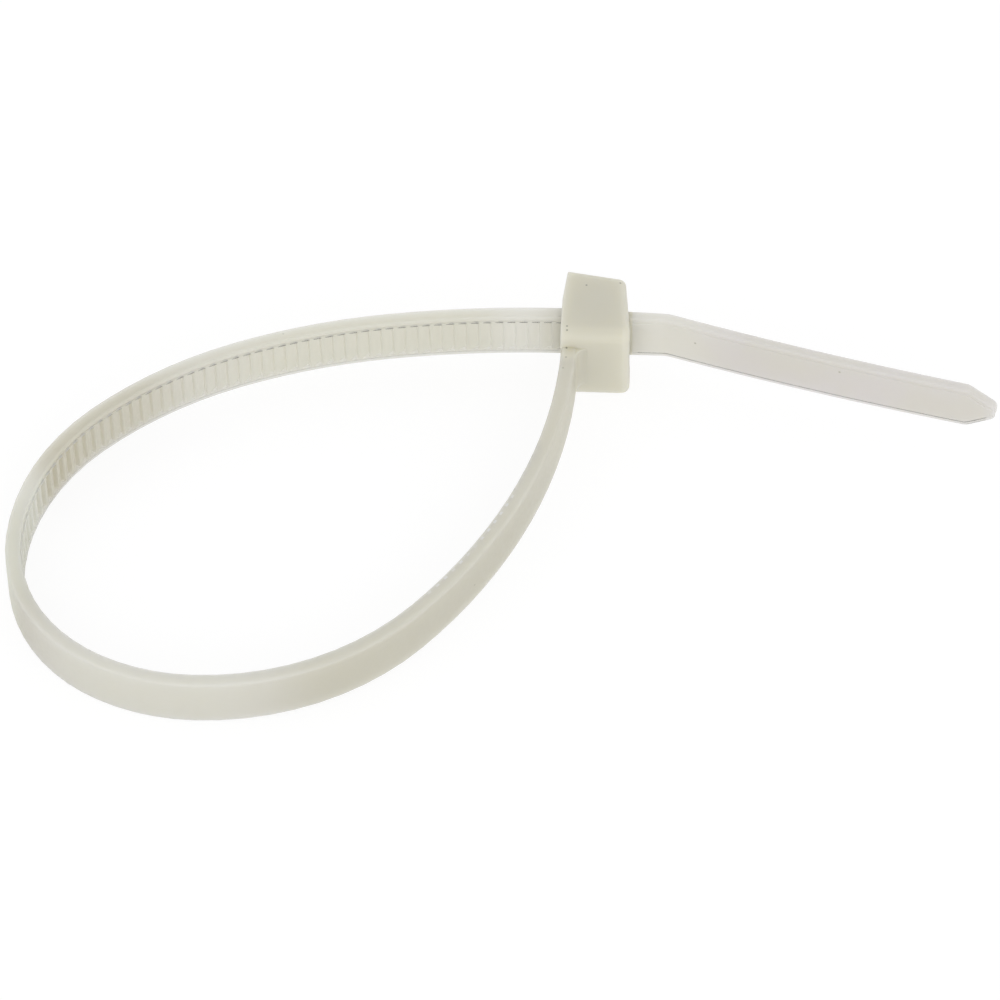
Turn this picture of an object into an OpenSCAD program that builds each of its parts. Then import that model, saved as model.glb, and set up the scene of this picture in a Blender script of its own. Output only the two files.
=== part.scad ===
// One-piece nylon cable tie, closed into a loop and lying on its edge.
// The strap leaves the near side of the head, runs round the loop, passes through
// the slot in the head with its teeth towards the pawl, and ends in a free tail.
// Lengths are in millimetres and angles in degrees.

/* [Strap] */
// Width of the strap, which stands upright
strap_w = 4.8; // [3.6:0.1:7.6]
// Thickness of the strap round the loop
strap_t = 1.4; // [1.1:0.05:1.8]
// Thickness of the free tail, which is thinned on its smooth face
tail_t = 1.05; // [1:0.05:1.8]
// Width of the tail where the tip starts
tail_w = 4.6; // [3.5:0.1:7.6]
// Edge radius on the smooth outer face
outer_edge_r = 0.3; // [0.1:0.05:0.5]
// Edge radius on the toothed face
inner_edge_r = 0.15; // [0.05:0.05:0.4]
// Width of the ledge left along each edge of the toothed face, beside its raised band
ledge_w = 0.5; // [0.3:0.05:0.6]
// Height of the raised band, in which the teeth are cut
band_h = 0.1; // [0.05:0.05:0.3]

/* [Teeth] */
// From each edge of the strap to the teeth, which lie inside the raised band
track_inset = 0.7; // [0.7:0.05:1]
// Distance from one tooth to the next
tooth_pitch = 1.1; // [0.9:0.05:1.6]
// Depth of the notches
tooth_depth = 0.45; // [0.25:0.05:0.6]
// Flat crest left between two notches
crest_l = 0.28; // [0.15:0.01:0.5]
// Length of the steep flank, measured along the strap
flank_l = 0.07; // [0.02:0.01:0.15]
// Plain strap between the head and the first notch
plain_neck = 10.5; // [4:0.5:30]
// Notches past the one that the pawl's foremost tooth holds. The rest of the tail is plain.
spare_teeth = 0; // [0:1:20]

/* [Head] */
// Width of the head, across the strap
head_w = 8.2; // [7.4:0.1:12]
// Length of the head along the slot, at the side that the strap grows from
head_l = 6.1; // [5.6:0.1:9]
// From the slot's middle to the near side, which the strap grows from
near_depth = 4.3; // [3.9:0.1:6]
// From the slot's middle to the far side, at the mouth
far_depth = 4.2; // [2.6:0.1:6]
// How much the far side slopes down from the mouth to the exit
far_slope = 0.9; // [0:0.1:1.2]
// How much the mouth face leans in towards the far side
mouth_lean = 0.4; // [0:0.1:0.8]
// How much the exit face leans in towards the far side
exit_lean = 0.5; // [0:0.1:1]
// Radius of the head's four long edges
long_edge_r = 1.2; // [0.9:0.1:1.4]
// Radius round the exit face
exit_edge_r = 0.7; // [0.2:0.1:0.8]
// Radius of the blend between the strap's root and the head
root_r = 0.9; // [0.3:0.1:1.2]
// Step from the mouth face to the root's toothed face
root_step = 0.05; // [0.05:0.05:0.5]

/* [Slot and pawl] */
// Clearance between the strap and the slot at each side
side_gap = 0.15; // [0.05:0.01:0.4]
// Clearance between the strap's faces and the slot
face_gap = 0.1; // [0.05:0.01:0.3]
// Flare of the slot's far wall at the mouth
lead_in = 0.4; // [0:0.1:0.8]
// Clearance between the pawl's teeth and the notches
mesh_gap = 0.1; // [0.05:0.01:0.15]
// Number of teeth on the pawl
pawl_teeth = 3; // [1:1:3]
// Thickness of the pawl at its free end
pawl_t = 0.8; // [0.5:0.05:1]
// Thickness of the bending root of the pawl
hinge_t = 0.6; // [0.4:0.05:0.8]
// Wall between the pawl's chamber and the near side
near_wall = 1.1; // [0.8:0.1:1.5]
// Clearance between the pawl and the sides of its chamber
pawl_side_gap = 0.3; // [0.15:0.05:0.6]
// Wall between the mouth and the pawl's chamber, where the pawl is rooted
mouth_wall = 1.3; // [1:0.1:2]
// Distance from the exit face back to the pawl's nose
nose_back = 0.6; // [0.3:0.1:1]

/* [Bent shape] */
// Reach of the loop, from the slot's middle to its far end
loop_reach = 49.4; // [40:0.1:90]
// Depth of the loop, from the slot's middle to its nearest point
loop_depth = 43.9; // [30:0.5:80]
// Distance from the slot's middle to the nearest point, along the slot
belly_x = 32.6; // [25:0.1:36]
// Distance from the slot's middle to the far end, across the slot
bow_y = 28.1; // [20:0.5:32]
// Point on the far run where its heading is set, along the slot
shoulder_x = 31.9; // [24:0.1:38]
// The same point, across the slot
shoulder_y = 5.3; // [3:0.1:8]
// Heading of the far run at that point
shoulder_angle = 23.9; // [15:1:35]
// Heading at which the strap leaves the head
root_angle = 268.4; // [260:0.1:275]
// How the turn is shared between the two arcs from the head to the nearest point
root_ratio = 1.55; // [1:0.05:2]
// The same, from the nearest point to the far end
belly_ratio = 0.45; // [0.3:0.05:1.5]
// The same, from the far end to the shoulder
bow_ratio = 1.15; // [0.7:0.05:1.5]
// The same, from the shoulder to the mouth
shoulder_ratio = 0.9; // [0.7:0.05:1.5]
// Straight part of the tail past the head
tail_lead = 2.8; // [0.5:0.1:5]
// Angle of the tail's bend
tail_bend_angle = 17.8; // [0:0.1:60]
// Radius of the tail's bend
bend_r = 3; // [3:0.5:20]
// Length of the tail past the bend, up to the tip
tail_l = 27.4; // [10:0.1:80]
// Angle by which the tail curls back over its length
tail_curl_angle = 5; // [0:0.1:20]

// Heading of the loop where its edge touches the table
rest_angle = 150; // [120:1:170]

/* [Tip] */
// Length of the taper at the tip
tip_l = 2.6; // [1.5:0.1:6]
// Width of the blunt end
tip_end_w = 1.4; // [0.5:0.1:2.5]
// Radius of the tip's corners
tip_r = 0.8; // [0.2:0.1:1.5]

/* [Hidden] */
// Flat steps in a rounded corner
CORNER_STEPS = 3;
// The longest flat step along the strap, and the largest turn in one step
RUN_STEP = 2.2;
TURN_STEP = 6;
// Flat steps round the head's corners
CORNER_FN = 24;
// How far cutting shapes stand off or pass a surface, and how far pieces sink in
LIFT = 0.1;
PAST = 1;
SUNK = 0.5;
SLIGHT = 0.01;
// Share of the raised band's height that is left at the blunt end
BAND_REST = 0.2;
NYLON = [0.83, 0.82, 0.76];

crest_y = -strap_t / 2;
mouth_x = -head_l / 2;
exit_x = head_l / 2;
mid_z = strap_w / 2;
// Overhang of the head past each edge of the strap
overhang = (head_w - strap_w) / 2;
track_w = strap_w - 2 * track_inset;
ramp_l = tooth_pitch - crest_l - flank_l;
ramp_slope = tooth_depth / ramp_l;

// Plan vectors and angles
function unit(a) = [cos(a), sin(a)];
function left_of(v) = [-v.y, v.x];
function dot(a, b) = a.x * b.x + a.y * b.y;
function heading_of(v) = atan2(v.y, v.x);
function wrapped(a) = a - 360 * round(a / 360);
function total(v, i = 0) = i < len(v) ? v[i] + total(v, i + 1) : 0;

// A run is a stretch of the strap's middle line: its start, heading, length and turn.
// The turn is zero on a straight run and negative to the right.
function arc_to(p, a, q) =
    let(turn = 2 * wrapped(heading_of(q - p) - a), chord = norm(q - p))
    abs(turn) < 0.01
        ? [p, a, chord, 0]
        : [p, a, chord * (turn * PI / 360) / sin(turn / 2), turn];

// Two arcs that meet smoothly, from p at heading a to q at heading b. The ratio is the
// first arc's tangent length over the second's.
function arc_pair(p, a, q, b, ratio) =
    let(
        t = unit(a),
        u = unit(b),
        v = q - p,
        w = ratio * t + u,
        qa = dot(w, w) - pow(1 + ratio, 2),
        qb = -2 * dot(v, w),
        qc = dot(v, v),
        second = abs(qa) < 1e-6 ? -qc / qb : (-qb - sqrt(qb * qb - 4 * qa * qc)) / (2 * qa),
        first = ratio * second,
        joint = (second * (p + first * t) + first * (q - second * u)) / (first + second),
        opening = arc_to(p, a, joint)
    )
    [opening, arc_to(joint, a + opening[3], q)];

// Position and heading at a distance s along a run
function place(run, s) =
    run[3] == 0
        ? run[0] + s * unit(run[1])
        : let(a = run[3] * s / run[2], r = run[2] * 180 / PI / run[3])
          run[0] + r * (sin(a) * unit(run[1]) + (1 - cos(a)) * left_of(unit(run[1])));
function heading(run, s) = run[1] + run[3] * s / run[2];

// Stations of the middle line, from the head's near side round to the free tail
root = [mouth_x + root_step + strap_t / 2, -near_depth];
belly = [-belly_x, -loop_depth];
bow = [-loop_reach, -bow_y];
shoulder = [-shoulder_x, -shoulder_y];
mouth = [mouth_x, 0];
lead = [mouth, 0, head_l + tail_lead, 0];
bend = [place(lead, lead[2]), 0, bend_r * tail_bend_angle * PI / 180, -tail_bend_angle];
LOOP = concat(
    arc_pair(root, root_angle, belly, 180, root_ratio),
    arc_pair(belly, 180, bow, 90, belly_ratio),
    arc_pair(bow, 90, shoulder, shoulder_angle, bow_ratio),
    arc_pair(shoulder, shoulder_angle, mouth, 0, shoulder_ratio)
);
tail = [place(bend, bend[2]), -tail_bend_angle, tail_l + tip_l, tail_curl_angle];
STRAP = concat(LOOP, [lead, bend, tail]);
loop_l = total([for (run = LOOP) run[2]]);
strap_l = total([for (run = STRAP) run[2]]);
tip_s = strap_l - tip_l;
// The slot's middle, as a distance along the strap
slot_s = loop_l - mouth_x;

// The run that holds the distance s along the strap, and the distance along that run
function run_at(s, i = 0) =
    i == len(STRAP) - 1 || s <= STRAP[i][2] ? [STRAP[i], s] : run_at(s - STRAP[i][2], i + 1);

// The point at a distance s along the strap, moved sideways to the right
function beside(s, right) =
    let(at = run_at(s))
    place(at[0], at[1]) - right * left_of(unit(heading(at[0], at[1])));

// Corner of radius r at p, between the straight sides to the points before and after
function rounded(before, p, after, r) =
    let(
        a = (before - p) / norm(before - p),
        b = (after - p) / norm(after - p),
        half = acos(dot(a, b)) / 2,
        c = p + (a + b) / norm(a + b) * r / sin(half),
        from = heading_of(p + a * r / tan(half) - c),
        sweep = wrapped(heading_of(p + b * r / tan(half) - c) - from)
    )
    [for (i = [0:CORNER_STEPS]) c + r * unit(from + sweep * i / CORNER_STEPS)];

// Outline with a rounded corner at each point [x, y, radius], or a sharp one at radius 0
function outline(points) =
    let(n = len(points), at = [for (p = points) [p.x, p.y]])
    [for (i = [0:n - 1]) each points[i].z == 0
        ? [at[i]]
        : rounded(at[(i + n - 1) % n], at[i], at[(i + 1) % n], points[i].z)];

// Section of the strap: x from its middle line towards the smooth face, y upwards. The
// toothed face has a raised band between its two ledges.
function section(smooth_x, band_x, width) =
    let(ledge_x = crest_y + band_h, ledge = min(ledge_w, width / 4), half = width / 2)
    outline([
        [smooth_x, mid_z - half, outer_edge_r],
        [smooth_x, mid_z + half, outer_edge_r],
        [ledge_x, mid_z + half, inner_edge_r],
        [ledge_x, mid_z + half - ledge, 0],
        [band_x, mid_z + half - ledge, 0],
        [band_x, mid_z - half + ledge, 0],
        [ledge_x, mid_z - half + ledge, 0],
        [ledge_x, mid_z - half, inner_edge_r]
    ]);

// Where the smooth face lies: the strap is thinned from the mouth to the tail's bend
function smooth_x(s) =
    let(share = min(1, max(0, (s - loop_l) / lead[2])))
    strap_t / 2 + share * (tail_t - strap_t);

// Where the raised band's face lies: it sinks almost to the ledges near the blunt end
band_s = strap_l - ledge_w;
function band_x(s) = s > band_s ? crest_y + (1 - BAND_REST) * band_h : crest_y;

// Half of the tip's outline, as pairs of distance along the strap and half width
tip_half = concat(
    rounded([tip_s - PAST, tail_w / 2], [tip_s, tail_w / 2], [strap_l, tip_end_w / 2], tip_r),
    rounded([tip_s, tail_w / 2], [strap_l, tip_end_w / 2], [strap_l, 0], min(tip_r, tip_end_w / 2))
);

// Width of the strap, which narrows along the tail and then to the tip
function width(s) =
    s < tip_half[0].x
        ? strap_w + max(0, 1 - (tip_s - s) / tail_l) * (tail_w - strap_w)
        : 2 * lookup(s, tip_half);

// Distances along the strap at which its section is drawn. The first one lies inside the
// head, and the last ones follow the tip and the end of the raised band.
stations = concat(
    [-SUNK],
    [for (i = [0:len(STRAP) - 1])
        let(
            from = total([for (k = [0:1:i - 1]) STRAP[k][2]]),
            span = min(STRAP[i][2], tip_s - from),
            steps = ceil(max(span / RUN_STEP, abs(STRAP[i][3]) / TURN_STEP))
        )
        each [for (k = [0:steps - 1]) from + span * k / steps]],
    [for (p = tip_half) if (p.x < band_s - SLIGHT) p.x],
    [band_s, band_s + band_h],
    [for (p = tip_half) if (p.x > band_s + band_h + SLIGHT) p.x]
);

// The plain strap: one section at each station, joined to the next
module strap_blank() {
    rings = [
        for (s = stations)
            let(p = beside(s, 0), across = beside(s, -1) - p)
            [for (q = section(smooth_x(s), band_x(s), width(s)))
                [p.x + across.x * q.x, p.y + across.y * q.x, q.y]]
    ];
    n = len(rings[0]);
    last = (len(rings) - 1) * n;
    polyhedron(
        points = [for (ring = rings) each ring],
        faces = concat(
            [[for (i = [0:n - 1]) i]],
            [for (k = [0:len(rings) - 2], i = [0:n - 1])
                [k * n + i, (k + 1) * n + i, (k + 1) * n + (i + 1) % n, k * n + (i + 1) % n]],
            [[for (i = [n - 1:-1:0]) last + i]]
        ),
        convexity = 4
    );
}

// The pawl's foremost tooth locks against the flank of this notch, which starts at
// ramp_x. The other notches are spaced from it, both ways along the strap.
nose_x = exit_x - nose_back;
ramp_x = nose_x + mesh_gap - ramp_l;
first_notch = ceil((plain_neck - slot_s - ramp_x) / tooth_pitch);

// One cutter for all notches: a comb whose back lies clear of the toothed face
module notch_comb() {
    crest = strap_t / 2;
    clear = crest + LIFT;
    back = crest + SUNK;
    starts = [for (k = [first_notch:spare_teeth]) slot_s + ramp_x + k * tooth_pitch];
    teeth = [for (s = starts) each [
        beside(s - LIFT / ramp_slope, clear),
        beside(s + ramp_l, crest - tooth_depth),
        beside(s + ramp_l + flank_l, clear)
    ]];
    spine = [for (i = [len(starts) - 1:-1:0]) beside(starts[i], back)];
    translate([0, 0, mid_z - track_w / 2])
        linear_extrude(track_w)
            polygon(concat(teeth, spine));
}

module strap() {
    color(NYLON)
        difference() {
            strap_blank();
            notch_comb();
        }
}

// Rounded corner of the head: its end face lies at x, above or below the slot
module head_corner(x, y, side) {
    translate([x - exit_edge_r, y, mid_z + side * (head_w / 2 - long_edge_r)])
        rotate([0, 90, 0])
            rotate_extrude($fn = CORNER_FN)
                intersection() {
                    translate([long_edge_r - exit_edge_r, 0])
                        circle(exit_edge_r, $fn = CORNER_FN);
                    translate([0, -exit_edge_r])
                        square([long_edge_r, 2 * exit_edge_r]);
                }
}

// Solid head. It is drawn over its rounded corners and cut off sharply at the mouth,
// which is upright from the near side to the slot's middle and leans in from there.
module head_block() {
    run_out = far_slope / (head_l - mouth_lean - exit_lean);
    near_y = long_edge_r - near_depth;
    far_y = far_depth - far_slope - long_edge_r;
    start_x = mouth_x - PAST;
    far_end_x = exit_x - exit_lean;
    intersection() {
        hull()
            for (side = [-1, 1]) {
                head_corner(start_x, near_y, side);
                head_corner(exit_x, near_y, side);
                head_corner(start_x, far_y + run_out * (far_end_x - start_x), side);
                head_corner(far_end_x, far_y, side);
            }
        translate([0, 0, mid_z - head_w / 2 - PAST])
            linear_extrude(head_w + 2 * PAST)
                polygon([
                    [mouth_x, -near_depth - PAST],
                    [exit_x + PAST, -near_depth - PAST],
                    [exit_x + PAST, far_depth + PAST],
                    [mouth_x + mouth_lean * (1 + PAST / far_depth), far_depth + PAST],
                    [mouth_x, 0]
                ]);
    }
}

// Blend between the root's smooth face and the head's near side
module root_blend() {
    foot = beside(root_r, -strap_t / 2);
    inset = outer_edge_r / 2;
    color(NYLON)
        translate([0, 0, inset])
            linear_extrude(strap_w - 2 * inset)
                polygon(concat(
                    [[foot.x - SUNK, -near_depth + SUNK], [foot.x + root_r, -near_depth + SUNK]],
                    [for (a = [90:TURN_STEP:180]) [foot.x + root_r, foot.y] + root_r * unit(a)],
                    [[foot.x - SUNK, foot.y]]
                ));
}

// The way through the head for the strap, flared at the mouth
module slot() {
    floor_y = crest_y - face_gap;
    wall_y = strap_t / 2 + face_gap;
    translate([0, 0, -side_gap])
        linear_extrude(strap_w + 2 * side_gap)
            polygon([
                [mouth_x - PAST, floor_y],
                [exit_x + PAST, floor_y],
                [exit_x + PAST, wall_y],
                [mouth_x + mouth_wall, wall_y],
                [mouth_x, wall_y + lead_in],
                [mouth_x - PAST, wall_y + lead_in]
            ]);
}

pawl_w = track_w - 2 * mesh_gap;
chamber_x = mouth_x + mouth_wall;
tongue_y = crest_y - face_gap;
// Tops of the pawl's teeth, so that their ramps clear the notches by the mesh gap
bite_y = crest_y + tooth_depth - mesh_gap * (ramp_slope + sqrt(1 + pow(ramp_slope, 2)));

// Room for the pawl to bend away from the strap, open at the exit
module chamber() {
    floor_y = -near_depth + near_wall;
    translate([chamber_x, floor_y, mid_z - pawl_w / 2 - pawl_side_gap])
        cube([exit_x - chamber_x + PAST, tongue_y + SUNK - floor_y, pawl_w + 2 * pawl_side_gap]);
}

// Springy pawl: it grows from the wall at the mouth and its teeth sit in the notches
module pawl() {
    hinge_y = tongue_y - pawl_t / 2;
    color(NYLON)
        translate([0, 0, mid_z - pawl_w / 2])
            linear_extrude(pawl_w)
                polygon(concat(
                    [
                        [chamber_x - SUNK, hinge_y],
                        [chamber_x - SUNK, hinge_y - hinge_t],
                        [chamber_x, hinge_y - hinge_t],
                        [nose_x - pawl_t / 2, tongue_y - pawl_t],
                        [nose_x, tongue_y - pawl_t / 2]
                    ],
                    [for (i = [0:pawl_teeth - 1])
                        let(top_x = nose_x - i * tooth_pitch)
                        each [
                            [top_x, tongue_y],
                            [top_x, bite_y],
                            [top_x - (bite_y - tongue_y) / ramp_slope, tongue_y]
                        ]]
                ));
}

module head() {
    color(NYLON)
        difference() {
            head_block();
            slot();
            chamber();
        }
}

// The part lies on a table: it rests on the strap's outer edge where the loop's heading
// is rest_angle, and on the head's lower side, at the near corner of the mouth
rest_s = total([for (i = [0:1]) LOOP[i][2]]) + rest_share(LOOP[2], LOOP[3]);
function rest_share(one, two) =
    let(turned = rest_angle - one[1])
    turned > one[3] ? one[2] * turned / one[3] : one[2] + two[2] * (turned - one[3]) / two[3];
touch = beside(rest_s, outer_edge_r - strap_t / 2);
reach = dot([mouth_x, long_edge_r - near_depth] - touch, -left_of(unit(rest_angle)));
tilt = asin(overhang / reach);
tip = beside(strap_l, 0);
centre = [(tip.x - loop_reach - strap_t / 2) / 2, (far_depth - loop_depth - strap_t / 2) / 2];

module cable_tie() {
    translate([touch.x - centre.x, touch.y - centre.y, 0])
        rotate(a = -tilt, v = [cos(rest_angle), sin(rest_angle), 0])
            translate([-touch.x, -touch.y, 0]) {
                strap();
                head();
                root_blend();
                pawl();
            }
}

cable_tie();
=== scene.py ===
"""Natural nylon cable tie: finish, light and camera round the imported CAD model."""

import math
from collections import namedtuple

import bpy
from mathutils import Matrix, Vector

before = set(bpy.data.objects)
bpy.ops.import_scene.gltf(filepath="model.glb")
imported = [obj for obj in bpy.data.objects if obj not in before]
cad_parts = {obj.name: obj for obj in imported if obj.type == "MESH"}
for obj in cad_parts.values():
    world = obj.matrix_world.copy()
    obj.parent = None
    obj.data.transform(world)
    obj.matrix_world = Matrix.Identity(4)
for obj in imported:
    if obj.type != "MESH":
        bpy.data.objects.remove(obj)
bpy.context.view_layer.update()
MM = 0.001
QUARTER_TURN = math.pi / 2

# Camera, at the photograph's angle
VIEW_AZIMUTH = math.radians(-2.80)
VIEW_ELEVATION = math.radians(46.89)
VIEW_ROLL = math.radians(0.2)
VIEW_TARGET = Vector((-0.645, 2.963, 0.0)) * MM
VIEW_DISTANCE = 544.8 * MM
VIEW_LENS = 222.3
VIEW_CLIP = (0.01, 10.0)
SENSOR = 36.0

# Light
DOME_LOW = 1.0
DOME_HIGH = 0.7
LAMP_PLACE = Vector((0.1, -0.55, 0.22))
LAMP_SIZE = 0.3
LAMP_POWER = 0.5

# White paper: how pale it is and how strongly it glows, as it lights the tie and as it is seen
FLOOR_HALF = 3.0
LIT_PAPER = (0.55, 0.4)
SEEN_PAPER = (0.2, 0.85)

# How the strap stands: it leans about the heading and the point where its edge rests
REST_HEADING = math.radians(150)
REST_LEAN = math.radians(1.84)
REST_POINT = Vector((-34.65, -21.66, 0)) * MM
# From the strap's middle line out to the edge on which it rests
REST_OUT = 0.4 * MM

# The loop's plan, bent as in the part's source. Each station is a point of the strap's
# middle line, in millimetres from the slot's middle, and its heading in degrees. They
# lead from the root to the mouth, with two arcs from each to the next. A ratio shares out
# their turn: it is the first arc's tangent length over the second's.
STATIONS = (
    (-2.3, -4.3, -91.6),
    (-32.6, -43.9, 180.0),
    (-49.4, -28.1, 90.0),
    (-31.9, -5.3, 23.9),
    (-3.05, 0.0, 0.0),
)
RATIOS = (1.55, 0.45, 1.15, 0.9)
# Arcs before the one that starts at the loop's far end
NEAR_ARCS = 4

# Sizes of the strap that the finish follows. Heights are above the lower edge.
STRAP_TOP = 4.8 * MM
STRAP_MIDDLE = 2.4 * MM
HALF_THICKNESS = 0.7 * MM
TRACK_TOP = 4.1 * MM
LEDGE = 0.5 * MM
# The notches start at whole numbers of pitches from the root, plus the phase
TOOTH_PITCH = 1.1 * MM
TOOTH_PHASE = 0.2 * MM

# The head's place, and where its finish gives way to the strap's, along the slot and across
# it: the direction, half the head's size and the width of the change
HEAD_MIDDLE = Vector((7.2, 20.2, 4.2)) * MM
HEAD_SIDES = (((1, 0, 0), 3.1 * MM, 0.1 * MM), ((0, 1, 0), 4.4 * MM, 2.0 * MM))

# Colours of the nylon. It is greyer where the strap is thin, and creamier in the head.
STRAP_COLOUR = (0.535, 0.512, 0.51)
CLOUD_COLOUR = (0.53, 0.512, 0.485)
HEAD_COLOUR = (0.70, 0.68, 0.58)
CLOUD_SCALE = 160.0
CLOUD_SPREAD = (0.35, 0.65)
# Where the nylon's tone drifts, and painted light and shade: patches lighter or darker
# where more or less light falls on the tie. Each has its middle, the distances at which it
# starts to fade and has faded, all in millimetres, and its colour
LIGHT_AND_TONE_PATCHES = (
    ((0, 19, 3), 10, 22, (0.66, 0.645, 0.59)),
    ((-40, 4, 3), 14, 30, (0.465, 0.45, 0.385)),
    ((0, -14, 3), 16, 28, (0.50, 0.485, 0.42)),
    # Painted light: paler where the floor shades the near run's lower edge
    ((-29, -22, 3), 5, 16, (0.60, 0.59, 0.53)),
    ((3, 6, 3), 9, 12, (0.50, 0.485, 0.42)),
    ((-13, 20, 3), 8, 20, (0.495, 0.48, 0.39)),
    # Painted shade: two darker spots at the loop's left end
    ((-36, 7, 3), 3, 10, (0.38, 0.36, 0.295)),
    ((-39.5, 1, 3), 2, 6, (0.36, 0.335, 0.265)),
    # Painted light: paler where the head shades the strap
    ((2.5, 18.5, 4), 1, 6, (0.66, 0.64, 0.55)),
    ((-43, -8, 3), 4, 10, (0.58, 0.58, 0.50)),
)

# Painted light: the strap's upper edge, from these heights, is painted paler, as a top face
# lit from above, along the loop's near half, which fades out between two places along y
UPPER_EDGE = (STRAP_TOP - 0.25 * MM, STRAP_TOP - 0.1 * MM)
PAINTED_TOP_LIGHT_COLOUR = (0.67, 0.66, 0.59)
PAINTED_TOP_LIGHT_SHARE = 0.28
NEAR_HALF = (-4 * MM, 6 * MM)

# Painted light: pale ticks where light through the near run's notches shows in its upper
# edge: how far in from the inner face, where along the strap, where in each notch, and how
# unevenly they show. Here and below, three numbers in a row are a band's start, its end and
# the width of its fade.
PAINTED_TICK_COLOUR = (0.65, 0.65, 0.63)
TICK_IN = 0.34 * MM
TICK_WIDTH = 0.1 * MM
TICK_SOFT = 0.1 * MM
TICK_RUN = (19 * MM, 31 * MM, 2 * MM)
TICK_PLACE = (0.5, 0.7, 0.15)
TICK_SCALE = 700.0
TICK_SPREAD = (0.3, 0.55)
TICK_FAINTEST = 0.3

# Painted shadow: dark lines where shade falls in the notches and under the ledge. A line
# shows where the normal, rounded over a reach, turns away from the face's own: in full below
# the first cosine and not at all past the second
PAINTED_SHADOW_COLOUR = (0.13, 0.125, 0.105)
# Painted shadow: dark dashes where the lips shade the upper ends of the far run's notches, fainter
# towards the loop's left end
DASH_REACH = 0.35 * MM
DASH_TURN = (0.88, 0.98)
DASH_HEIGHT = (TRACK_TOP, TRACK_TOP + 0.12 * MM, 0.04 * MM)
DASH_PLACE = (0.12, 0.74, 0.05)
DASH_END = (6 * MM, 7 * MM)
DASH_LEFT = (-38 * MM, -31 * MM)
DASH_FAINTEST = 0.25
# The far run lies past these distances from the resting point, in this direction
FAR_SIDE = (-0.33, 0.944, 0)
FAR_FROM = (24.5 * MM, 25.5 * MM)
# Painted shadow: the dark line where the step shades the lower ledge, which is faint round the
# loop and full on the tail
LEDGE_REACH = 0.18 * MM
LOOP_TURN = (0.90, 0.995)
LOOP_HEIGHT = (LEDGE - 0.1 * MM, LEDGE + 0.1 * MM, 0.05 * MM)
LOOP_LINE = 0.4
TAIL_TURN = (0.965, 0.9995)
TAIL_HEIGHT = (LEDGE - 0.15 * MM, STRAP_MIDDLE, 0.05 * MM)
TAIL_REACH = (11.0 * MM, 41.8 * MM, 0.3 * MM)

# Specks in the plastic, in millimetres, each with its radius. A speck has its full colour
# up to the core's share of that radius.
SPECK_COLOUR = (0.36, 0.35, 0.30)
SPECK_CORE = 0.4
SPECKS = (
    (4.58, 16.75, 8.2, 0.12),
    (4.6, 16.37, 8.05, 0.12),
    (4.6, 15.7, 6.5, 0.12),
    (4.6, 14.6, 6.45, 0.12),
    (4.4, 13.3, 6.4, 0.13),
    (6.1, 21.8, 8.35, 0.12),
    (9.1, 22.2, 8.35, 0.13),
    (16.0, 18.6, 4.8, 0.15),
    (28.9, 14.8, 5.7, 0.16),
    (-2.2, -9.8, 2.8, 0.13),
    (-20.7, 16.5, 6.1, 0.12),
)

# How deep light goes into the nylon, with the shares of it for red, green and blue. The
# strap is clearer round one middle, in full up to the first distance and not past the second.
SCATTER_SHARES = (1.0, 0.97, 0.85)
STRAP_SCATTER = 5.0 * MM
CLEAR_SCATTER = 13.0 * MM
HEAD_SCATTER = 2.0 * MM
CLEAR_MIDDLE = Vector((-22, 14, 3)) * MM
CLEAR_REACH = (22.0 * MM, 30.0 * MM)
NYLON_IOR = 1.53

# Surface
GRAIN_SCALE = 2600.0
GRAIN_DETAIL = 4.0
GRAIN_SPREAD = (0.3, 0.7)
ROUGHNESS = (0.42, 0.54)
BUMP_STRENGTH = 0.25
BUMP_HEIGHT = 0.01 * MM
EDGE_ROUND = 0.12 * MM
BEVEL_SAMPLES = 6
SMOOTH_ANGLE = math.radians(32)
WELD = 0.002 * MM

# An arc that turns to the right: its middle, its radius, the angle at which it starts, seen
# from its middle, and the angle through which it turns
Arc = namedtuple("Arc", "middle radius first turn")


def pointing(angle):
    """A plan vector of length 1 at an angle."""
    return Vector((math.cos(angle), math.sin(angle)))


def arc_to(start, heading, end):
    """The arc that leaves a point at a heading and reaches another point."""
    chord = end - start
    turn = 2 * (heading - math.atan2(chord.y, chord.x))
    radius = chord.length / (2 * math.sin(turn / 2))
    first = heading + QUARTER_TURN
    return Arc(start - radius * pointing(first), radius, first, turn)


def arc_pair(start, heading, end, end_heading, ratio):
    """Two arcs that meet smoothly and join two stations, as in the part's source."""
    leave = pointing(heading)
    arrive = pointing(end_heading)
    chord = end - start
    both = ratio * leave + arrive
    square = both.dot(both) - (1 + ratio) ** 2
    linear = -2 * chord.dot(both)
    second = (-linear - math.sqrt(linear ** 2 - 4 * square * chord.dot(chord))) / (2 * square)
    first = ratio * second
    joint = (second * (start + first * leave) + first * (end - second * arrive)) / (first + second)
    opening = arc_to(start, heading, joint)
    return opening, arc_to(joint, heading - opening.turn, end)


def loop_arcs():
    """The loop's arcs from the root to the mouth, with their middles from the resting point."""
    stations = [(Vector((x, y)) * MM, math.radians(heading)) for x, y, heading in STATIONS]
    arcs = []
    for (start, heading), (end, end_heading), ratio in zip(stations, stations[1:], RATIOS):
        arcs.extend(arc_pair(start, heading, end, end_heading, ratio))
    out = REST_HEADING + QUARTER_TURN
    rest_arc = next(arc for arc in arcs if arc.first - arc.turn <= out <= arc.first)
    rest = rest_arc.middle + (rest_arc.radius + REST_OUT) * pointing(out)
    return [arc._replace(middle=arc.middle - rest) for arc in arcs]


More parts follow.
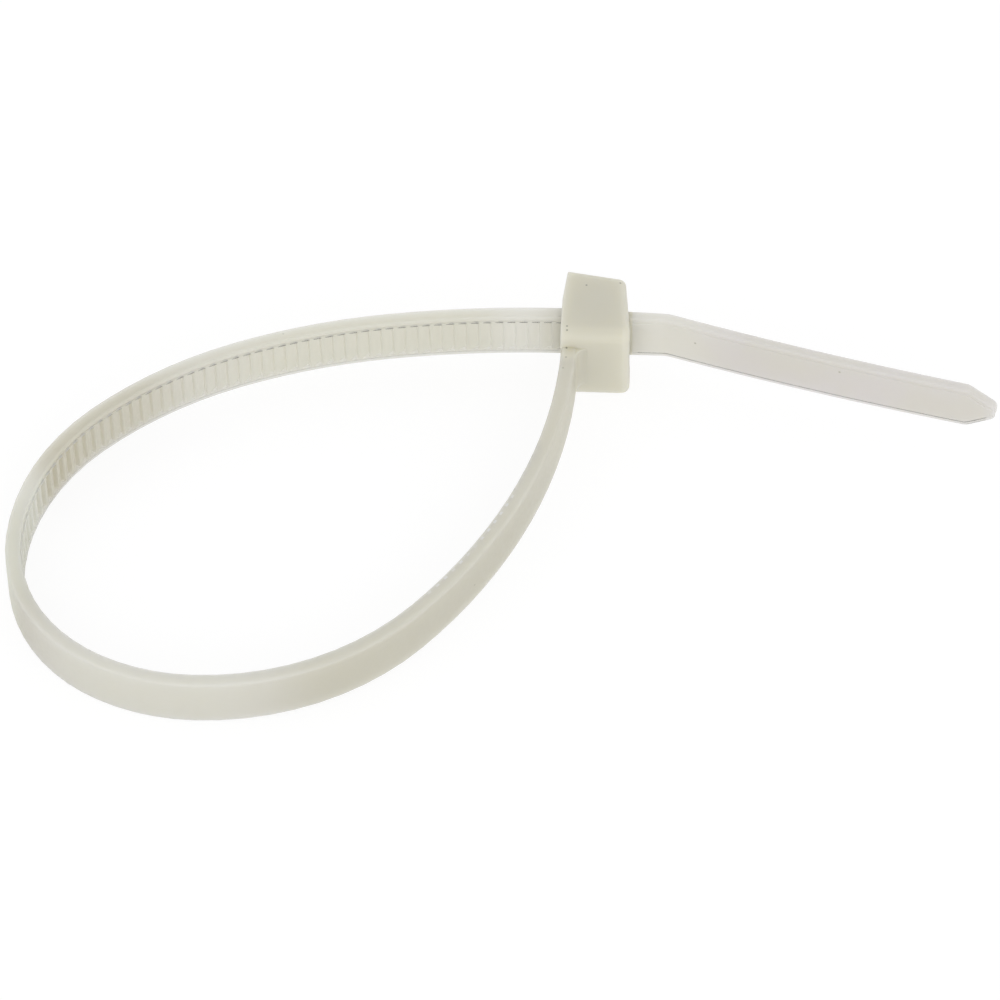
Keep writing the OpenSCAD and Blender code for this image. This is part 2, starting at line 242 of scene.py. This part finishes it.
def make_camera():
    """The camera, placed and turned as the photograph shows the tie."""
    back = Vector((
        -math.sin(VIEW_AZIMUTH) * math.cos(VIEW_ELEVATION),
        -math.cos(VIEW_AZIMUTH) * math.cos(VIEW_ELEVATION),
        math.sin(VIEW_ELEVATION),
    ))
    data = bpy.data.cameras.new("camera")
    data.lens = VIEW_LENS
    data.sensor_width = SENSOR
    data.clip_start, data.clip_end = VIEW_CLIP
    camera = bpy.data.objects.new("camera", data)
    bpy.context.scene.collection.objects.link(camera)
    camera.location = VIEW_TARGET + back * VIEW_DISTANCE
    turn = (-back).to_track_quat("-Z", "Y").to_matrix() @ Matrix.Rotation(VIEW_ROLL, 3, "Z")
    camera.rotation_euler = turn.to_euler()
    bpy.context.scene.camera = camera


class Nodes:
    """Short calls for building a node tree."""

    def __init__(self, tree):
        self.tree = tree

    def add(self, kind, **settings):
        """A new node, with its settings."""
        made = self.tree.nodes.new(kind)
        for name, value in settings.items():
            setattr(made, name, value)
        return made

    def link(self, output, socket):
        """Link an output to an input socket."""
        self.tree.links.new(output, socket)

    def axis(self, where, name):
        """X, Y or Z of a vector."""
        made = self.add("ShaderNodeSeparateXYZ")
        self.link(where, made.inputs["Vector"])
        return made.outputs[name]

    def noise(self, where, scale, detail=3.0):
        """Smooth noise about 0.5."""
        made = self.add("ShaderNodeTexNoise")
        made.inputs["Scale"].default_value = scale
        made.inputs["Detail"].default_value = detail
        self.link(where, made.inputs["Vector"])
        return made.outputs["Fac"]

    def ramp(self, value, low, high, to_low=0.0, to_high=1.0):
        """Goes smoothly from to_low at low to to_high at high, and stays there."""
        made = self.add("ShaderNodeMapRange", interpolation_type="SMOOTHSTEP")
        numbers = {"From Min": low, "From Max": high, "To Min": to_low, "To Max": to_high}
        for name, number in numbers.items():
            made.inputs[name].default_value = number
        self.link(value, made.inputs["Value"])
        return made.outputs["Result"]

    def fade(self, value, near, far):
        """1 up to near and 0 past far."""
        return self.ramp(value, near, far, 1.0, 0.0)

    def band(self, value, low, high, soft):
        """1 between low and high, and 0 outside them."""
        return self.product(self.ramp(value, low - soft, low), self.fade(value, high, high + soft))

    def math(self, operation, first, second=0.0):
        """One step of arithmetic on numbers or outputs."""
        made = self.add("ShaderNodeMath", operation=operation)
        for socket, value in zip(made.inputs, (first, second)):
            if isinstance(value, float):
                socket.default_value = value
            else:
                self.link(value, socket)
        return made.outputs["Value"]

    def product(self, found, *factors):
        """All factors multiplied."""
        for factor in factors:
            found = self.math("MULTIPLY", found, factor)
        return found

    def vector(self, operation, first, second):
        """The number that a step on two vectors gives."""
        made = self.add("ShaderNodeVectorMath", operation=operation)
        for socket, value in zip(made.inputs, (first, second)):
            if isinstance(value, Vector):
                socket.default_value = value
            else:
                self.link(value, socket)
        return made.outputs["Value"]

    def mix(self, factor, first, second):
        """From the first colour to the second as the factor goes from 0 to 1."""
        made = self.add("ShaderNodeMix", data_type="RGBA")
        self.link(factor, made.inputs["Factor"])
        for name, colour in (("A", first), ("B", second)):
            socket = next(s for s in made.inputs if s.name == name and s.type == "RGBA")
            if isinstance(colour, tuple):
                socket.default_value = (*colour, 1)
            else:
                self.link(colour, socket)
        return next(s for s in made.outputs if s.type == "RGBA")


def new_material(name):
    """An empty material, and the calls that build its nodes."""
    material = bpy.data.materials.new(name)
    material.use_nodes = True
    material.node_tree.nodes.clear()
    return material, Nodes(material.node_tree)


def stands(direction):
    """A direction of the upright strap, leant over as the tie rests."""
    axis = (math.cos(REST_HEADING), math.sin(REST_HEADING), 0)
    return Matrix.Rotation(-REST_LEAN, 3, axis) @ Vector(direction)


def offset(nodes, where, direction, start=REST_POINT):
    """Distance of a point from the start, along a direction of the upright strap."""
    line = stands(direction)
    return nodes.math("SUBTRACT", nodes.vector("DOT_PRODUCT", where, line), start.dot(line))


def height(nodes, where):
    """Height of a point above the strap's lower edge, on the upright strap."""
    return offset(nodes, where, (0, 0, 1))


def from_middle(nodes, where, arc):
    """Where a point lies, along x and y of the upright strap, from the middle of an arc."""
    lines = (((1, 0, 0), arc.middle.x), ((0, 1, 0), arc.middle.y))
    return [nodes.math("SUBTRACT", offset(nodes, where, line), middle) for line, middle in lines]


def distance_along(nodes, where, arcs, run):
    """Distance from the strap's root, on a stretch of arcs that starts at the distance run."""
    for arc in arcs:
        out_x, out_y = from_middle(nodes, where, arc)
        turned = nodes.math("SUBTRACT", arc.first, nodes.math("ARCTAN2", out_y, out_x))
        turned = nodes.math("MINIMUM", nodes.math("MAXIMUM", turned, 0.0), arc.turn)
        run = nodes.math("ADD", nodes.product(turned, arc.radius), run)
    return run


def place_in_notch(nodes, run):
    """How far a point is from the start of one notch to the start of the next, 0 to 1."""
    pitches = nodes.math("DIVIDE", nodes.math("SUBTRACT", run, TOOTH_PHASE), TOOTH_PITCH)
    return nodes.math("FRACT", pitches)


def rounded_normal(nodes, reach):
    """The normal as if all edges were rounded."""
    made = nodes.add("ShaderNodeBevel", samples=BEVEL_SAMPLES)
    made.inputs["Radius"].default_value = reach
    return made.outputs["Normal"]


def edge_turn(nodes, reach):
    """Cosine between the rounded normal and the face's own, which is 1 away from edges."""
    true_normal = nodes.add("ShaderNodeNewGeometry").outputs["True Normal"]
    return nodes.vector("DOT_PRODUCT", rounded_normal(nodes, reach), true_normal)


def inside_head(nodes, where):
    """1 on the head's own faces, 0 on the strap."""
    sides = []
    for direction, half, soft in HEAD_SIDES:
        away = offset(nodes, where, direction, HEAD_MIDDLE)
        sides.append(nodes.band(away, -half, half, soft))
    return nodes.product(*sides)


def upper_edge(nodes, where):
    """1 on the strap's upper edge."""
    return nodes.ramp(height(nodes, where), *UPPER_EDGE)


def painted_light_on_upper_edge(nodes, where):
    """How much paler the upper edge is painted, as painted light, along the loop's near half."""
    near = nodes.fade(nodes.axis(where, "Y"), *NEAR_HALF)
    return nodes.product(upper_edge(nodes, where), near, PAINTED_TOP_LIGHT_SHARE)


def painted_light_ticks(nodes, where):
    """1 on the pale ticks of painted light along the near run's upper inner edge, one to a notch.
    """
    arc = loop_arcs()[0]
    run = distance_along(nodes, where, [arc], 0.0)
    squares = [nodes.math("POWER", out, 2.0) for out in from_middle(nodes, where, arc)]
    away = nodes.math("SQRT", nodes.math("ADD", *squares))
    inner = arc.radius - HALF_THICKNESS + TICK_IN
    return nodes.product(
        nodes.band(away, inner, inner + TICK_WIDTH, TICK_SOFT),
        nodes.band(place_in_notch(nodes, run), *TICK_PLACE),
        nodes.band(run, *TICK_RUN),
        nodes.ramp(nodes.noise(where, TICK_SCALE), *TICK_SPREAD, TICK_FAINTEST, 1.0),
        upper_edge(nodes, where),
    )


def painted_notch_shadows(nodes, where):
    """Painted shadow: 1 on the dark dashes at the upper ends of the far run's notches."""
    arcs = loop_arcs()
    start = sum(arc.radius * arc.turn for arc in arcs[:NEAR_ARCS])
    run = distance_along(nodes, where, arcs[NEAR_ARCS:], start)
    x = nodes.axis(where, "X")
    return nodes.product(
        nodes.band(place_in_notch(nodes, run), *DASH_PLACE),
        nodes.fade(x, *DASH_END),
        nodes.ramp(x, *DASH_LEFT, DASH_FAINTEST, 1.0),
        nodes.ramp(offset(nodes, where, FAR_SIDE), *FAR_FROM),
        nodes.band(height(nodes, where), *DASH_HEIGHT),
        nodes.fade(edge_turn(nodes, DASH_REACH), *DASH_TURN),
    )


def painted_ledge_shadow(nodes, where):
    """Painted shadow: 1 on the fine dark line along the tail's lower ledge, less round the loop.
    """
    up = height(nodes, where)
    turned = edge_turn(nodes, LEDGE_REACH)
    loop = nodes.product(nodes.fade(turned, *LOOP_TURN), nodes.band(up, *LOOP_HEIGHT), LOOP_LINE)
    tail = nodes.product(
        nodes.fade(turned, *TAIL_TURN),
        nodes.band(up, *TAIL_HEIGHT),
        nodes.band(nodes.axis(where, "X"), *TAIL_REACH),
    )
    return nodes.math("MAXIMUM", loop, tail)


def specks(nodes, where):
    """1 at each speck, 0 elsewhere."""
    found = 0.0
    for x, y, z, radius in SPECKS:
        away = nodes.vector("DISTANCE", where, Vector((x, y, z)) * MM)
        spot = nodes.fade(away, SPECK_CORE * radius * MM, radius * MM)
        found = nodes.math("MAXIMUM", spot, found)
    return found


def nylon_colour(nodes, where, head, lines):
    """The colour of the nylon, with its specks and the painted light and shade on it."""
    cloud = nodes.ramp(nodes.noise(where, CLOUD_SCALE), *CLOUD_SPREAD)
    colour = nodes.mix(cloud, STRAP_COLOUR, CLOUD_COLOUR)
    for middle, near, far, shade in LIGHT_AND_TONE_PATCHES:
        away = nodes.vector("DISTANCE", where, Vector(middle) * MM)
        colour = nodes.mix(nodes.fade(away, near * MM, far * MM), colour, shade)
    layers = (
        # Painted light on the upper edge
        (painted_light_on_upper_edge(nodes, where), PAINTED_TOP_LIGHT_COLOUR),
        # Painted light: the pale ticks
        (painted_light_ticks(nodes, where), PAINTED_TICK_COLOUR),
        (head, HEAD_COLOUR),
        # Painted shadow: the dark lines
        (lines, PAINTED_SHADOW_COLOUR),
        (specks(nodes, where), SPECK_COLOUR),
    )
    for share, layer in layers:
        colour = nodes.mix(share, colour, layer)
    return colour


def scatter_depth(nodes, where, head, strap):
    """How deep light goes: deepest in the clear half of the loop, and least in the head."""
    away = nodes.vector("DISTANCE", where, CLEAR_MIDDLE)
    depth = nodes.ramp(away, *CLEAR_REACH, CLEAR_SCATTER, STRAP_SCATTER)
    return nodes.math("ADD", nodes.product(depth, strap), nodes.product(head, HEAD_SCATTER))


def grainy_normal(nodes, grain):
    """Softened edges, with the grain as a fine bump."""
    bump = nodes.add("ShaderNodeBump")
    bump.inputs["Strength"].default_value = BUMP_STRENGTH
    bump.inputs["Distance"].default_value = BUMP_HEIGHT
    nodes.link(grain, bump.inputs["Height"])
    nodes.link(rounded_normal(nodes, EDGE_ROUND), bump.inputs["Normal"])
    return bump.outputs["Normal"]


def make_nylon():
    """Natural nylon: milky and translucent, with a soft sheen."""
    material, nodes = new_material("natural_nylon")
    out = nodes.add("ShaderNodeOutputMaterial")
    shader = nodes.add("ShaderNodeBsdfPrincipled")
    nodes.link(shader.outputs["BSDF"], out.inputs["Surface"])
    where = nodes.add("ShaderNodeTexCoord").outputs["Object"]
    head = inside_head(nodes, where)
    strap = nodes.math("SUBTRACT", 1.0, head)
    # Painted shadow: the dark dashes and the ledge line, kept off the head
    lines = nodes.math("MAXIMUM", painted_notch_shadows(nodes, where), painted_ledge_shadow(nodes, where))
    lines = nodes.product(lines, strap)
    grain = nodes.noise(where, GRAIN_SCALE, GRAIN_DETAIL)
    linked = {
        "Base Color": nylon_colour(nodes, where, head, lines),
        "Roughness": nodes.ramp(grain, *GRAIN_SPREAD, *ROUGHNESS),
        "Normal": grainy_normal(nodes, grain),
        "Subsurface Weight": nodes.math("SUBTRACT", 1.0, lines),
        "Subsurface Scale": scatter_depth(nodes, where, head, strap),
    }
    for name, output in linked.items():
        nodes.link(output, shader.inputs[name])
    shader.inputs["Subsurface Radius"].default_value = SCATTER_SHARES
    shader.inputs["IOR"].default_value = NYLON_IOR
    return material


def glowing_paper(nodes, pale, glow):
    """Matt white that also gives a little light of its own, as on a light table."""
    paper = nodes.add("ShaderNodeBsdfDiffuse")
    paper.inputs["Color"].default_value = (pale, pale, pale, 1)
    light = nodes.add("ShaderNodeEmission")
    light.inputs["Strength"].default_value = glow
    both = nodes.add("ShaderNodeAddShader")
    nodes.link(paper.outputs["BSDF"], both.inputs[0])
    nodes.link(light.outputs["Emission"], both.inputs[1])
    return both.outputs["Shader"]


def make_floor():
    """White paper. The camera sees mostly its glow, so that its shadows stay faint."""
    material, nodes = new_material("floor")
    out = nodes.add("ShaderNodeOutputMaterial")
    seen = nodes.add("ShaderNodeMixShader")
    path = nodes.add("ShaderNodeLightPath").outputs
    direct = nodes.math("MAXIMUM", path["Is Camera Ray"], path["Is Transmission Ray"])
    nodes.link(nodes.math("MAXIMUM", direct, path["Is Glossy Ray"]), seen.inputs["Fac"])
    nodes.link(glowing_paper(nodes, *LIT_PAPER), seen.inputs[1])
    nodes.link(glowing_paper(nodes, *SEEN_PAPER), seen.inputs[2])
    nodes.link(seen.outputs["Shader"], out.inputs["Surface"])
    mesh = bpy.data.meshes.new("floor")
    signs = ((-1, -1), (1, -1), (1, 1), (-1, 1))
    corners = [(x * FLOOR_HALF, y * FLOOR_HALF, 0) for x, y in signs]
    mesh.from_pydata(corners, [], [(0, 1, 2, 3)])
    floor = bpy.data.objects.new("floor", mesh)
    bpy.context.scene.collection.objects.link(floor)
    floor.data.materials.append(material)


def make_lights():
    """A pale dome, a little brighter at the horizon than overhead, and a low softbox."""
    world = bpy.data.worlds.new("studio")
    bpy.context.scene.world = world
    world.use_nodes = True
    nodes = Nodes(world.node_tree)
    up = nodes.axis(nodes.add("ShaderNodeTexCoord").outputs["Generated"], "Z")
    dome = world.node_tree.nodes["Background"]
    dome.inputs["Color"].default_value = (1, 1, 1, 1)
    nodes.link(nodes.ramp(up, 0.0, 1.0, DOME_LOW, DOME_HIGH), dome.inputs["Strength"])
    data = bpy.data.lights.new("softbox", "AREA")
    data.size = LAMP_SIZE
    data.energy = LAMP_POWER
    lamp = bpy.data.objects.new("softbox", data)
    bpy.context.scene.collection.objects.link(lamp)
    lamp.location = LAMP_PLACE
    lamp.rotation_euler = (-lamp.location).to_track_quat("-Z", "Y").to_euler()


def smooth_by_angle():
    """Node group that shades the mesh smooth, apart from edges sharper than SMOOTH_ANGLE."""
    tree = bpy.data.node_groups.new("smooth_by_angle", "GeometryNodeTree")
    for in_out in ("INPUT", "OUTPUT"):
        tree.interface.new_socket("Geometry", in_out=in_out, socket_type="NodeSocketGeometry")
    nodes = Nodes(tree)
    angle = nodes.add("GeometryNodeInputMeshEdgeAngle")
    sharp = nodes.add("FunctionNodeCompare", data_type="FLOAT", operation="GREATER_THAN")
    sharp.inputs["B"].default_value = SMOOTH_ANGLE
    nodes.link(angle.outputs["Unsigned Angle"], sharp.inputs["A"])
    plain = nodes.add("GeometryNodeRemoveAttribute")
    plain.inputs["Name"].default_value = "custom_normal"
    faces = nodes.add("GeometryNodeSetShadeSmooth", domain="FACE")
    edges = nodes.add("GeometryNodeSetShadeSmooth", domain="EDGE")
    edges.inputs["Shade Smooth"].default_value = False
    nodes.link(sharp.outputs["Result"], edges.inputs["Selection"])
    chain = (nodes.add("NodeGroupInput"), plain, faces, edges, nodes.add("NodeGroupOutput"))
    for before, after in zip(chain, chain[1:]):
        nodes.link(before.outputs["Geometry"], after.inputs["Geometry"])
    return tree


def dress(piece, material):
    """Give a CAD piece its material and smooth shading. Its mesh stays as it is."""
    for slot in piece.material_slots:
        slot.material = material
    weld = piece.modifiers.new("weld", "WELD")
    weld.merge_threshold = WELD
    smooth = piece.modifiers.new("smooth", "NODES")
    smooth.node_group = smooth_by_angle()
    even = piece.modifiers.new("even", "WEIGHTED_NORMAL")
    even.keep_sharp = True


bpy.context.scene.view_settings.view_transform = "Standard"
make_camera()
make_floor()
make_lights()
dress(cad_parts["cable_tie"], make_nylon())
